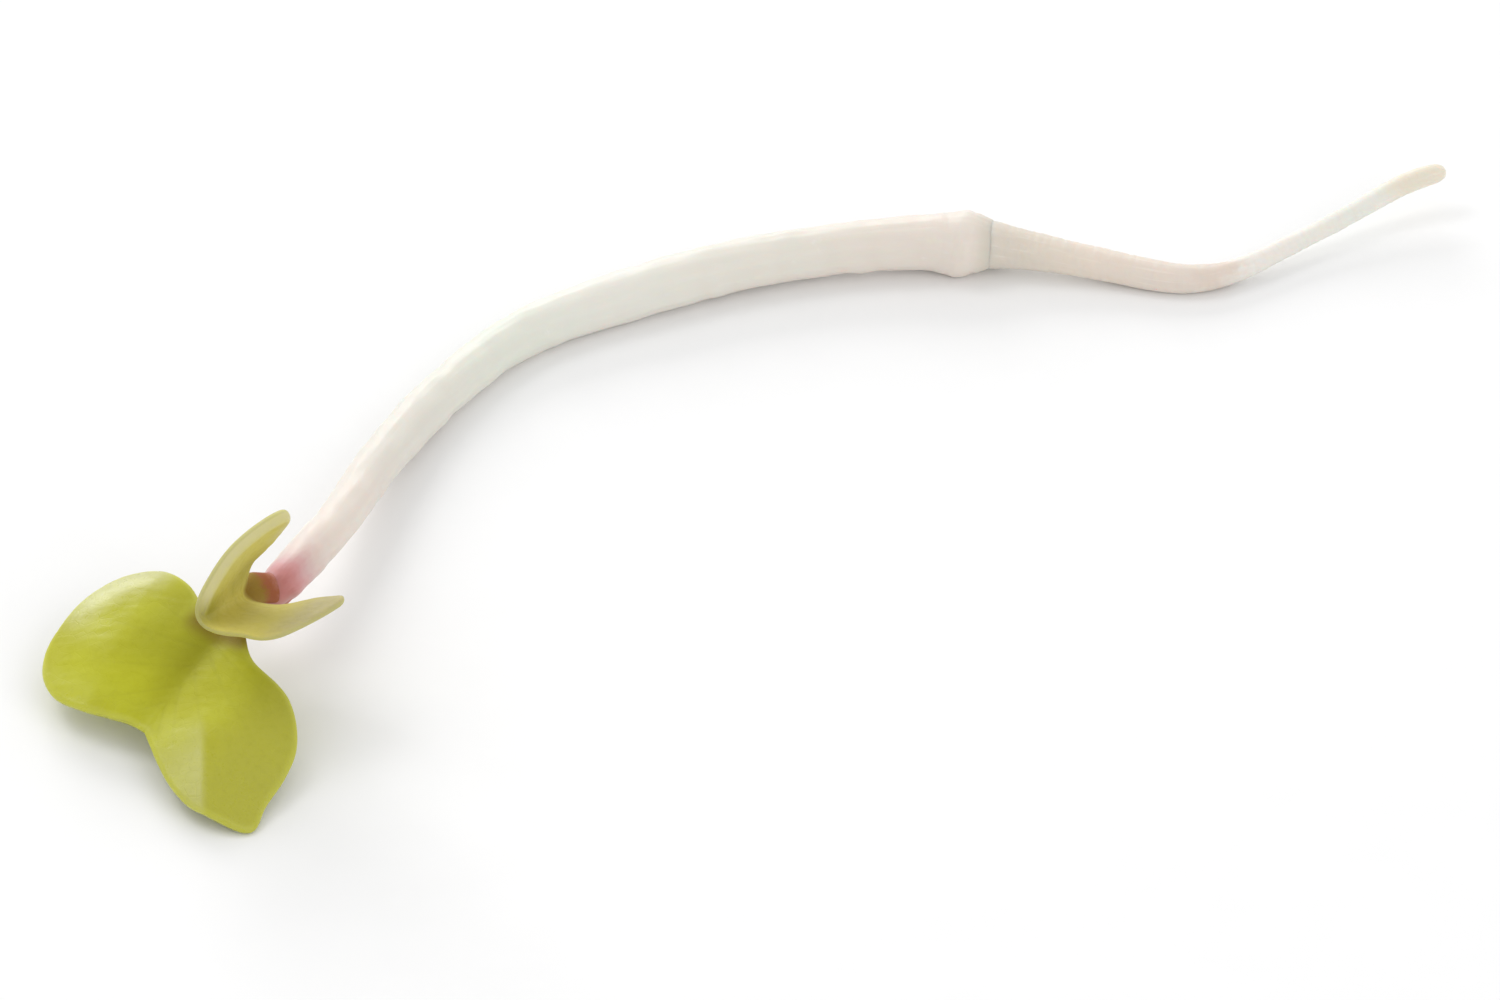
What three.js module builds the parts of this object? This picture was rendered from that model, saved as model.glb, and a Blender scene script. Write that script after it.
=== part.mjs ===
// One radish sprout lying on a table, in millimetres, with +Z up. Its seed leaves are at the -X end
// and its root runs out to +X. The root, the stem and the two seed leaves are one solid each.

import * as THREE from 'three';
import { mergeVertices } from 'three/addons/utils/BufferGeometryUtils.js';

// The middle line of the sprout, from the leaf end of the stem to the tip of the root. The stem rises
// to the leaves at one end, lies on the table in its bend, and the root's tip lifts off again.
const MIDDLE_LINE = [
  [-18.95, -9.15, 2.95],
  [-16.48, -3.84, 2.1],
  [-14.81, 0.68, 1.42],
  [-12.95, 4.56, 0.96],
  [-11.05, 7.31, 0.87],
  [-9.05, 9.42, 0.87],
  [-4.19, 11.98, 0.99],
  [1.52, 13.91, 1.14],
  [8.38, 14.76, 1.18],
  [14.29, 13.83, 0.76],
  [16.48, 13.29, 0.58],
  [18.57, 13.28, 0.52],
  [22.86, 15.86, 0.8],
  [26.95, 18.32, 1.6],
  [27.8, 18.5, 1.72],
];

// Stations along the middle line, each with the radius there. The knob at 40 is the collar.
const STEM_STATIONS = [
  [0, 0.88],
  [10.8, 0.9],
  [18.5, 0.97],
  [26, 1.02],
  [33, 1.05],
  [37.8, 1.12],
  [39.4, 1.22],
  [40.1, 1.29],
  [40.65, 1.18],
  [41, 0.98],
];
const ROOT_STATIONS = [
  [41.1, 0.95],
  [41.8, 0.86],
  [43.5, 0.71],
  [46, 0.62],
  [49, 0.58],
  [51, 0.49],
  [53, 0.43],
  [58, 0.42],
  [60.7, 0.41],
  [61.2, 0.33],
  [61.45, 0.15],
];
const STEM_RINGS = 56;
const STEM_SIDES = 16;
const ROOT_RINGS = 34;
const ROOT_SIDES = 12;
const FRAMES_PER_RUN = 600;
const WELD_DISTANCE = 1e-4;

// A seed leaf is laid out flat: x runs from the leaf stalk to the notch between the two lobes, y
// across. Each lobe's rim starts beside the stalk and ends in the notch. Across the leaf a lobe bends
// evenly, from the first slope at the crease to the last one at its reach, in degrees. Its outer part
// is twisted about the line at its x, by so much across and up for each millimetre. The stalk's line
// starts at the end of the stem and ends where the crease starts.
const LARGE_LEAF = {
  crease: { start: -0.9, notch: 5.38, rounding: 0.4 },
  lobes: [
    {
      rim: [
        [-1.05, -0.74], [-1.1, -1.6], [-1.4, -2.8], [-1.3, -3.9], [-0.6, -4.8], [1.08, -5.7],
        [2.3, -6.2], [3.3, -6.15], [4.8, -5.3], [5.6, -4.1], [5.7, -2.8], [5.48, -1.6], [5.32, -0.7],
      ],
      slopes: [20, -20],
      twist: { x: 0, across: 0, up: 0 },
      reach: 5.8,
    },
    {
      rim: [
        [-0.85, 0.74], [0.35, 1.95], [1.3, 4.3], [2.9, 5.7], [4.4, 6.1], [5.95, 6.2],
        [7.05, 6.4], [7.4, 6.15], [7.75, 4.9], [7.8, 3.8], [7.3, 2.5], [6.52, 1.38], [5.86, 0.58],
      ],
      slopes: [20, -22],
      twist: { x: 0, across: 0, up: 0 },
      reach: 5.6,
    },
  ],
  stalk: { line: [[-2.7, 0.35, -0.62], [-1.8, 0.14, -0.28], [-0.9, 0, 0]], width: 1.5, height: 0.78 },
  base: [-21.14, -11.45, 2.3],
  along: [-0.531, -0.815, -0.233],
  facing: [-0.11, -0.206, 0.972],
};

// The small seed leaf stands up over the large one, folded about its crease, so that its two lobes
// reach back past the end of the stem on either side.
const SMALL_LEAF = {
  crease: { start: 0, notch: 4.75, rounding: 0.42 },
  lobes: [
    {
      rim: [
        [-0.1, -0.7], [0.7, -2], [1.05, -3.2], [1.2, -4], [1.6, -4.75], [2.3, -5.15], [3.1, -5],
        [3.9, -4.3], [4.5, -3.2], [4.8, -2.1], [4.85, -1.1],
      ],
      slopes: [57, 84],
      twist: { x: 3.6, across: 0.11, up: 0 },
      reach: 5.2,
    },
    {
      rim: [
        [-0.1, 0.7], [0, 1.9], [0.2, 3], [0.5, 4], [0.9, 4.65], [1.45, 4.9], [2.2, 4.65], [3.1, 4.1],
        [4, 3.4], [4.55, 2.55], [4.75, 1.7], [4.85, 0.85],
      ],
      slopes: [47, 83],
      twist: { x: 2.1, across: -0.08, up: 0.22 },
      reach: 5,
    },
  ],
  stalk: { line: [[-1.75, 0.22, 0.62], [-0.9, 0.08, 0.22], [0, 0, 0]], width: 1.4, height: 0.86 },
  base: [-20.19, -10.6, 4.01],
  along: [-0.324, -0.841, 0.433],
  facing: [0.791, 0.01, 0.612],
};
const BLADE_THICKNESS = 0.65;
const RIB = { height: 0.22, width: 0.5 };
const STALK_RIM = 0.35;
const TWIST_ZONE = [1.5, 3.5];
const CREASE_PACE = 0.7;
const FOLD_STEPS = 16;
const STALK_ROWS = 8;
const RIM_STEPS = 23;
const BLADE_ROWS = 22;
const LOBE_COLUMNS = 9;

// The middle of the sprout, seen from above, goes to the origin.
const MIDDLE = [-0.18, -1.05];

const ROOT_CREAM = new THREE.MeshStandardMaterial({ color: 0xded2c6, roughness: 0.5, metalness: 0 });
const STEM_WHITE = new THREE.MeshStandardMaterial({ color: 0xe4e2d6, roughness: 0.35, metalness: 0 });
const LEAF_GREEN = new THREE.MeshStandardMaterial({ color: 0xafb232, roughness: 0.45, metalness: 0 });
const LEAF_OLIVE = new THREE.MeshStandardMaterial({ color: 0xb4ab62, roughness: 0.45, metalness: 0 });

function smoothCurve(places) {
  const points = places.map((place) => new THREE.Vector3(...place));
  const curve = new THREE.CatmullRomCurve3(points, false, 'centripetal');
  curve.arcLengthDivisions = FRAMES_PER_RUN;
  return curve;
}

// Joins vertices that lie on each other and drops the triangles that this closes up.
function weld(geometry) {
  geometry.deleteAttribute('normal');
  geometry.deleteAttribute('uv');
  const welded = mergeVertices(geometry, WELD_DISTANCE);
  const corners = welded.index.array;
  const kept = [];
  for (let i = 0; i < corners.length; i += 3) {
    const [a, b, c] = corners.subarray(i, i + 3);
    if (a !== b && b !== c && c !== a) kept.push(a, b, c);
  }
  welded.setIndex(kept);
  return welded;
}

// A straight turned body, its axis along Y. The stations are heights, and the radius follows a smooth
// curve through them.
function turned(stations, rings, sides) {
  const corners = stations.map(([height, radius]) => new THREE.Vector2(radius, height));
  const wall = new THREE.SplineCurve(corners).getSpacedPoints(rings);
  const bottom = new THREE.Vector2(0, wall[0].y);
  const top = new THREE.Vector2(0, wall[rings].y);
  return weld(new THREE.LatheGeometry([bottom, ...wall, top], sides));
}

// Bends a straight body: its height becomes the distance along the curve.
function bendAlong(geometry, curve) {
  const length = curve.getLength();
  const frames = curve.computeFrenetFrames(FRAMES_PER_RUN, false);
  const places = geometry.attributes.position;
  for (let i = 0; i < places.count; i += 1) {
    const share = THREE.MathUtils.clamp(places.getY(i) / length, 0, 1);
    const frame = Math.round(share * FRAMES_PER_RUN);
    const point = curve.getPointAt(share);
    point.addScaledVector(frames.binormals[frame], places.getX(i));
    point.addScaledVector(frames.normals[frame], places.getZ(i));
    places.setXYZ(i, point.x, point.y, point.z);
  }
  return geometry;
}

// How far the fold moves a point that lies y to the side of the crease: it walks out from the crease
// along the lobe's slope in small steps. The slope grows out of the crease's rounding and then changes
// evenly.
function folded(y, lobe, rounding) {
  const [first, last] = lobe.slopes.map(THREE.MathUtils.degToRad);
  const step = Math.abs(y) / FOLD_STEPS;
  const moved = new THREE.Vector3(0, -y, 0);
  for (let i = 0; i < FOLD_STEPS; i += 1) {
    const away = (i + 0.5) * step;
    const slope = (first * away) / Math.hypot(away, rounding) + ((last - first) * away) / lobe.reach;
    moved.y += Math.sign(y) * step * Math.cos(slope);
    moved.z += step * Math.sin(slope);
  }
  return moved;
}

// The rows of a leaf, from the end of its stalk to the notch: where each row's middle lies, and its
// two ends on the rims, still flat. The stalk's line is lifted off the flat leaf by its height.
function leafRows(leaf) {
  const { start, notch } = leaf.crease;
  const line = smoothCurve(leaf.stalk.line);
  const rows = [];
  for (let row = 0; row < STALK_ROWS; row += 1) {
    const share = row / STALK_ROWS;
    const middle = line.getPointAt(share);
    const ends = leaf.lobes.map(({ rim: [[x, y]] }) => new THREE.Vector3(
      middle.x + share ** 2 * (x - start),
      THREE.MathUtils.lerp(middle.y + (Math.sign(y) * leaf.stalk.width) / 2, y, share ** 2),
      middle.z,
    ));
    rows.push({ middle, ends, spread: share });
  }
  const rims = leaf.lobes.map(({ rim }) => (
    smoothCurve([...rim, [notch, 0]].map(([x, y]) => [x, y, 0])).getSpacedPoints(RIM_STEPS)
  ));
  for (let row = 0; row < BLADE_ROWS; row += 1) {
    const along = (row / RIM_STEPS) ** CREASE_PACE;
    const middle = new THREE.Vector3(THREE.MathUtils.lerp(start, notch, along), 0, 0);
    rows.push({ middle, ends: rims.map((rim) => rim[row]), spread: 1 });
  }
  return rows;
}

// The points of the leaf's middle surface, each with how far the two faces lie from it. The stalk has
// an oval section, which flattens into the blade, and a rib runs on under the blade's crease.
function leafSurface(leaf) {
  const points = [];
  for (const { middle, ends, spread } of leafRows(leaf)) {
    for (let column = -LOBE_COLUMNS; column <= LOBE_COLUMNS; column += 1) {
      const side = column < 0 ? 0 : 1;
      const share = Math.abs(column) / LOBE_COLUMNS;
      const flat = middle.clone().lerp(ends[side], share);
      const { twist } = leaf.lobes[side];
      const turning = THREE.MathUtils.smoothstep(Math.abs(flat.y), ...TWIST_ZONE) * (twist.x - flat.x);
      const lift = folded(flat.y - middle.y, leaf.lobes[side], leaf.crease.rounding);
      lift.y += twist.across * turning;
      lift.z += twist.up * turning;
      const place = flat.clone().addScaledVector(lift, spread ** 2);
      const oval = Math.max(Math.sqrt(1 - share ** 2), STALK_RIM) * leaf.stalk.height;
      const half = THREE.MathUtils.lerp(oval, BLADE_THICKNESS, spread ** 3) / 2;
      const taper = 1 - Math.max(flat.x, 0) / leaf.crease.notch;
      const rib = spread * taper * RIB.height * Math.exp(-((flat.y / RIB.width) ** 2));
      points.push({ place, spread, above: half, below: half + rib });
    }
  }
  const half = BLADE_THICKNESS / 2;
  points.push({ place: new THREE.Vector3(leaf.crease.notch, 0, 0), spread: 1, above: half, below: half });
  return points;
}

// The triangles of a leaf's middle surface, seen from above. The last row closes on the notch.
function leafTriangles(rows, columns) {
  const triangles = [];
  for (let row = 0; row < rows; row += 1) {
    for (let column = 0; column < columns - 1; column += 1) {
      const near = row * columns + column;
      if (row === rows - 1) {
        triangles.push(near, rows * columns, near + 1);
      } else {
        triangles.push(near, near + columns, near + columns + 1, near, near + columns + 1, near + 1);
      }
    }
  }
  return triangles;
}

// The points round the edge of a leaf's middle surface, anticlockwise seen from above.
function leafEdge(rows, columns) {
  const edge = [];
  for (let row = 0; row < rows; row += 1) edge.push(row * columns);
  edge.push(rows * columns);
  for (let row = rows - 1; row >= 0; row -= 1) edge.push(row * columns + columns - 1);
  for (let column = columns - 2; column > 0; column -= 1) edge.push(column);
  return edge;
}

// A whole leaf: its middle surface copied to either side, with a wall round the edge. The blade's faces
// are moved across the leaf only, so that its rows stay in order.
function leafGeometry(leaf) {
  const rows = STALK_ROWS + BLADE_ROWS;
  const columns = 2 * LOBE_COLUMNS + 1;
  const points = leafSurface(leaf);
  const surface = new THREE.BufferGeometry().setFromPoints(points.map(({ place }) => place));
  surface.setIndex(leafTriangles(rows, columns));
  surface.computeVertexNormals();

  const count = points.length;
  const shell = new Float32Array(6 * count);
  const out = new THREE.Vector3();
  points.forEach(({ place, spread, above, below }, i) => {
    out.fromBufferAttribute(surface.attributes.normal, i);
    out.setX(out.x * (1 - spread)).normalize();
    place.clone().addScaledVector(out, above).toArray(shell, 3 * i);
    place.clone().addScaledVector(out, -below).toArray(shell, 3 * (count + i));
  });
  const upper = [...surface.index.array];
  const lower = upper.map((vertex) => vertex + count).reverse();
  const edge = leafEdge(rows, columns);
  const wall = edge.flatMap((a, i) => {
    const b = edge[(i + 1) % edge.length];
    return [b, a, a + count, b, a + count, b + count];
  });
  const geometry = new THREE.BufferGeometry();
  geometry.setAttribute('position', new THREE.BufferAttribute(shell, 3));
  geometry.setIndex([...upper, ...lower, ...wall]);
  return geometry;
}

// Where a leaf lies: its flat frame's X points along the leaf and its Z the way that it faces.
function leafPlacement(leaf) {
  const x = new THREE.Vector3(...leaf.along).normalize();
  const z = new THREE.Vector3(...leaf.facing).projectOnPlane(x).normalize();
  const y = z.clone().cross(x);
  return new THREE.Matrix4().makeBasis(x, y, z).setPosition(...leaf.base);
}

// Presses what would lie below the table's top flat on to it: the small flats that the sprout rests on.
function pressOnTable(mesh) {
  const back = mesh.matrix.clone().invert();
  const places = mesh.geometry.attributes.position;
  const point = new THREE.Vector3();
  for (let i = 0; i < places.count; i += 1) {
    point.fromBufferAttribute(places, i).applyMatrix4(mesh.matrix);
    if (point.z < 0) {
      point.setZ(0).applyMatrix4(back);
      places.setXYZ(i, point.x, point.y, point.z);
    }
  }
}

function makePiece(name, geometry, material, placement = new THREE.Matrix4()) {
  const mesh = new THREE.Mesh(geometry, material);
  mesh.name = name;
  mesh.applyMatrix4(placement);
  mesh.updateMatrix();
  pressOnTable(mesh);
  return mesh;
}

const middleLine = smoothCurve(MIDDLE_LINE);
const rootShape = bendAlong(turned(ROOT_STATIONS, ROOT_RINGS, ROOT_SIDES), middleLine);
const stemShape = bendAlong(turned(STEM_STATIONS, STEM_RINGS, STEM_SIDES), middleLine);

const sprout = new THREE.Group();
sprout.add(makePiece('root', rootShape, ROOT_CREAM));
sprout.add(makePiece('hypocotyl', stemShape, STEM_WHITE));
sprout.add(makePiece('cotyledon_outer', leafGeometry(LARGE_LEAF), LEAF_GREEN, leafPlacement(LARGE_LEAF)));
sprout.add(makePiece('cotyledon_inner', leafGeometry(SMALL_LEAF), LEAF_OLIVE, leafPlacement(SMALL_LEAF)));
sprout.position.set(-MIDDLE[0], -MIDDLE[1], 0);

export default sprout;
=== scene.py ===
"""A radish sprout lying on a pale table: a white stem, a thin root and two folded seed leaves.

Shapes are worked out in millimetres, as grids of two parameters, and put into the meshes in metres.
"""

import bpy
import numpy as np
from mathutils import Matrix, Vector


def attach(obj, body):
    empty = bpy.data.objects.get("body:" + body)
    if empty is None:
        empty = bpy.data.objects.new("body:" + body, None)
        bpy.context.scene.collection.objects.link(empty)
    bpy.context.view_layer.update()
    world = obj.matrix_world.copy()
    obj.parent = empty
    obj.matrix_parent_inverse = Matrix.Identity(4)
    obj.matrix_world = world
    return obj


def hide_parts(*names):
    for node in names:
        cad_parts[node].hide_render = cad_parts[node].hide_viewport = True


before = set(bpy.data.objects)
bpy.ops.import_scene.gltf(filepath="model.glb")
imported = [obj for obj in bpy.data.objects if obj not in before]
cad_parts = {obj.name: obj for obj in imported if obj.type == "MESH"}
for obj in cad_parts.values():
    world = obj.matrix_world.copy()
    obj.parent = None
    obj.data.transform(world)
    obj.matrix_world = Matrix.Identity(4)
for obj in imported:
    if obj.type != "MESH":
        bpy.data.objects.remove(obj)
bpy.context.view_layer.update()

MM = 0.001
TURN = 2 * np.pi

# The middle line of the sprout, from the leaf end of the stem to the tip of the root.
MIDDLE_LINE = [
    (-18.95, -9.15, 2.95),
    (-16.48, -3.84, 2.1),
    (-14.81, 0.68, 1.42),
    (-12.95, 4.56, 0.96),
    (-11.05, 7.31, 0.87),
    (-9.05, 9.42, 0.87),
    (-4.19, 11.98, 0.99),
    (1.52, 13.91, 1.14),
    (8.38, 14.76, 1.18),
    (14.29, 13.83, 0.76),
    (16.48, 13.29, 0.58),
    (18.57, 13.28, 0.52),
    (22.86, 15.86, 0.8),
    (26.95, 18.32, 1.6),
    (27.8, 18.5, 1.72),
]
LINE_STEP = 0.05
LINE_EASING = 0.7
# The frame's origin is under the middle of the sprout, seen from above.
MIDDLE = np.array([-0.18, -1.05, 0.0])

# Profiles along the run: the distance from the leaf end, and the radius there.
STEM_PROFILE = [
    (-0.75, 0.0), (-0.72, 0.2), (-0.45, 0.44), (-0.1, 0.61), (0.35, 0.73), (0.9, 0.81), (1.7, 0.86),
    (4.0, 0.88), (10.8, 0.9), (18.5, 0.97), (26.0, 1.02), (33.0, 1.05), (36.9, 1.09), (38.8, 1.16),
    (39.6, 1.25), (40.15, 1.27), (40.6, 1.18), (40.95, 1.07), (41.2, 0.95), (41.3, 0.8), (41.32, 0.5),
    (41.3, 0.0),
]
ROOT_PROFILE = [
    (40.2, 0.0), (40.25, 0.5), (40.5, 0.82), (40.9, 0.98), (41.3, 0.975), (41.8, 0.9), (43.5, 0.73),
    (46.0, 0.63), (49.0, 0.58), (51.0, 0.49), (53.0, 0.43), (58.0, 0.42), (60.4, 0.41), (60.9, 0.36),
    (61.2, 0.22), (61.3, 0.0),
]
PROFILE_STEP = 0.01
STEM_RINGS, STEM_SIDES = 760, 96
ROOT_RINGS, ROOT_SIDES = 420, 64
# The surface's relief is whole where the radius is at least this, and fades where it is less.
RELIEF_WHOLE = 0.5

# Each seed leaf is given flat, with x along its crease and y across it. A lobe's rim runs from the stalk
# to the notch. Its slopes, in degrees, are the fold's at the crease and at the reach. Its twist turns
# the lobe's outer part about a place along the crease, by a share across and a share up. Its shoulder
# is how strongly it sags beside the stalk. The skin stands above and below this sheet by the amounts
# given, and is plump by that much more in the middle. The stalk is an oval along its own line. The
# flat leaf's origin goes to the base, with x turned to along and the upper face to facing.
LARGE_LEAF = {
    "crease": {"start": -0.9, "notch": 5.38, "rounding": 0.4, "flattening": 0.8},
    "lobes": [
        {
            "rim": [
                (-1.05, -0.74), (-1.3, -1.6), (-2.05, -2.85), (-2.25, -4.1), (-1.4, -5.25), (0.7, -6.25),
                (2.3, -6.35), (3.4, -6.15), (4.8, -5.3), (5.6, -4.1), (5.7, -2.8), (5.48, -1.6), (5.32, -0.7),
            ],
            "slopes": (20, -22),
            "twist": (0.0, 0.0, 0.0),
            "reach": 5.8,
            "shoulder": 0.075,
            "above": 0.12,
            "plump": 0.26,
        },
        {
            "rim": [
                (-0.85, 0.74), (0.35, 1.95), (1.3, 4.3), (2.9, 5.7), (4.4, 6.1), (5.95, 6.2),
                (7.05, 6.4), (7.4, 6.15), (7.75, 4.9), (7.8, 3.8), (7.3, 2.5), (6.52, 1.38), (5.86, 0.58),
            ],
            "slopes": (20, -22),
            "twist": (0.0, 0.0, 0.0),
            "reach": 5.6,
            "shoulder": 0.0,
            "above": 0.12,
            "plump": 0.26,
        },
    ],
    "stalk": {
        "line": [
            (-4.3, 0.42, -0.55), (-3.5, 0.47, -0.52), (-2.7, 0.32, -0.5), (-1.8, 0.12, -0.26),
            (-0.9, 0.0, 0.0),
        ],
        "width": 1.5,
        "height": 0.78,
    },
    "base": (-21.14, -11.45, 2.3),
    "along": (-0.531, -0.815, -0.233),
    "facing": (-0.11, -0.206, 0.972),
    "below": 0.25,
    "groove": 0.05,
}
SMALL_LEAF = {
    "crease": {"start": 0.0, "notch": 4.75, "rounding": 0.42, "flattening": 0.0},
    "lobes": [
        {
            "rim": [
                (-0.1, -0.7), (0.7, -2.0), (1.05, -3.2), (1.2, -4.0), (1.6, -4.75), (2.3, -5.15),
                (3.1, -5.0), (3.9, -4.3), (4.5, -3.2), (4.8, -2.1), (4.85, -1.1),
            ],
            "slopes": (57, 84),
            "twist": (3.6, 0.11, 0.0),
            "reach": 5.2,
            "shoulder": 0.0,
            "above": 0.3,
            "plump": 0.08,
        },
        {
            "rim": [
                (-0.1, 0.7), (0.0, 1.9), (0.2, 3.0), (0.5, 4.0), (0.9, 4.65), (1.45, 4.9), (2.2, 4.65),
                (3.1, 4.1), (4.0, 3.4), (4.55, 2.55), (4.75, 1.7), (4.85, 0.85),
            ],
            "slopes": (47, 83),
            "twist": (2.1, -0.08, 0.22),
            "reach": 5.0,
            "shoulder": 0.0,
            "above": 0.08,
            "plump": 0.26,
        },
    ],
    "stalk": {
        "line": [
            (-3.3, 0.36, 0.66), (-2.4, 0.5, 0.44), (-1.7, 0.4, 0.4), (-0.9, 0.12, 0.22), (0.0, 0.0, 0.0),
        ],
        "width": 1.4,
        "height": 0.86,
    },
    "base": (-20.19, -10.6, 4.01),
    "along": (-0.324, -0.841, 0.433),
    "facing": (0.791, 0.01, 0.612),
    "below": 0.24,
    "groove": 0.0,
}
# The grid of a leaf: its rows along the stalk and the blade, and its columns from a rim to the crease.
STALK_ROWS = 46
BLADE_ROWS = 184
LOBE_COLUMNS = 62
EDGE_COLUMNS = 6
# Over this stretch in from the rim the faces close, and the columns there lie closer together.
EDGE_ROUND = 0.22
# How far along the crease the last row lies, and how the rows crowd towards the notch.
LAST_ROW = 0.998
CREASE_PACE = 0.7
STALK_STEP = 0.005
RIM_STEP = 0.01
# The stalk starts inside the stem at this share of its size.
STALK_START = 0.4
FOLD_STEPS = 24
# The crease starts to flatten at this share of its length.
FLATTER_FROM = 0.45
# The shoulder sags from here back to the stalk. It and the twist grow over stretches beside the crease.
SHOULDER_START = 1.1
SHOULDER_ZONE = (0.5, 2.2)
TWIST_ZONE = (1.5, 3.5)
# The rib under the crease, the groove along it, and how far in from the rim the blade gets plump.
RIB = {"height": 0.22, "width": 0.5}
GROOVE_WIDTH = 0.6
PLUMP_WIDTH = 1.4
# Across this stretch the first lobe's thickness passes into the second's.
LOBES_MEET = (-0.7, 0.7)
# The slow waves of the blade, which grow over a stretch beside the crease, and its skin's fine grain.
WAVE = {"height": 0.035, "length": 3.4, "across": (0.8, 5.0)}
GRAIN = {"height": 0.003, "length": 0.55}
# A low ridge on the large leaf's second lobe, on the flat leaf. It falls away steeply towards the rim
# and gently towards the base, over the widths given, and rises over a stretch along its line.
LOBE_RIDGE = {
    "start": (4.05, 2.12),
    "end": (7.63, 4.38),
    "height": 0.28,
    "soft": 0.12,
    "steep": 0.9,
    "gentle": 2.2,
    "rises": (-1.6, 1.2),
}
# Where the painted highlight on the ridge's steep side lies, from the ridge's line and along it.
FACET_HIGHLIGHT = {"beside": (-0.12, 0.2), "fades": 3.0, "along": (-0.6, 1.8)}
# Where the side veins leave the crease, as shares of it, and where on the rim they point to.
SIDE_VEINS = [(0.02, 0.13), (0.05, 0.3), (0.12, 0.47), (0.3, 0.64), (0.5, 0.8), (0.7, 0.91)]
# A side vein bends, thins and fades by these shares. It stands out below more than it sinks in above.
VEIN = {
    "width": 0.085,
    "reach": 0.88,
    "bend": 0.12,
    "thins": 0.6,
    "fades": 0.75,
    "depth": 0.005,
    "below": 1.3,
    "points": 90,
    "rim_step": 0.02,
}
MAIN_VEIN = {"share": 0.5, "width": 0.16}
RIM_GAP_STEP = 0.04
# Curves are worked out with this many points in a span, and compared this many points at a time. No
# radius or row is smaller than the last value.
SPAN_POINTS = 80
LINE_CHUNK = 40
TINY = 1e-4


# Curves and grids

def smooth_line(points, step):
    """Points an even step apart on a curve through the given ones.

    Each span is a cubic. Its end slopes come from the neighbouring points, weighted by the square roots
    of their distances, so that no span overshoots. The result is spaced evenly by its running length.
    """
    p = np.array(points, float)
    p = np.vstack([2 * p[0] - p[1], p, 2 * p[-1] - p[-2]])
    gap = np.linalg.norm(np.diff(p, axis=0), axis=1) ** 0.5
    before, here, after = gap[:-2, None], gap[1:-1, None], gap[2:, None]
    a, b, c, d = p[:-3], p[1:-2], p[2:-1], p[3:]
    leave = ((b - a) / before - (c - a) / (before + here) + (c - b) / here) * here
    arrive = ((c - b) / here - (d - b) / (here + after) + (d - c) / after) * here
    t = np.linspace(0, 1, SPAN_POINTS, endpoint=False)[:, None, None]
    spans = (
        (2 * t**3 - 3 * t**2 + 1) * b
        + (t**3 - 2 * t**2 + t) * leave
        + (3 * t**2 - 2 * t**3) * c
        + (t**3 - t**2) * arrive
    )
    run = np.vstack([spans.transpose(1, 0, 2).reshape(-1, p.shape[1]), p[-2]])
    length = np.concatenate([[0], np.linalg.norm(np.diff(run, axis=0), axis=1).cumsum()])
    even = np.linspace(0, length[-1], int(round(length[-1] / step)) + 1)
    return np.stack([np.interp(even, length, axis) for axis in run.T], axis=1)


def eased(line, spread):
    """The same line with its bends eased: each point becomes a bell-weighted mean of its neighbours.

    Past its ends the line is carried on by turning it about its end points, so that these stay.
    """
    reach = int(3 * spread / LINE_STEP)
    bell = np.exp(-((np.arange(-reach, reach + 1) * LINE_STEP / spread) ** 2) / 2)
    bell /= bell.sum()
    longer = np.vstack([2 * line[0] - line[reach:0:-1], line, 2 * line[-1] - line[-2 : -reach - 2 : -1]])
    return np.stack([np.convolve(axis, bell, "valid") for axis in longer.T], axis=1)


def unit(vectors):
    """The vectors at length one, along the last axis."""
    return vectors / np.linalg.norm(vectors, axis=-1, keepdims=True)


def smooth_step(low, high, x):
    """0 below low, 1 above high, and 3t² - 2t³ between."""
    t = np.clip((x - low) / (high - low), 0, 1)
    return t * t * (3 - 2 * t)


def ripples(places, wavelength, seed, waves=24):
    """Smooth bumps of about one size: a sum of sine waves in random directions, near one wavelength."""
    draw = np.random.default_rng(seed)
    direction = unit(draw.normal(size=(waves, 3)))
    pace = TURN / (wavelength * draw.uniform(0.7, 1.4, waves))
    phase = draw.uniform(0, TURN, waves)
    return np.sin(places @ (direction * pace[:, None]).T + phase).sum(axis=-1) * (2 / waves) ** 0.5


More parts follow.
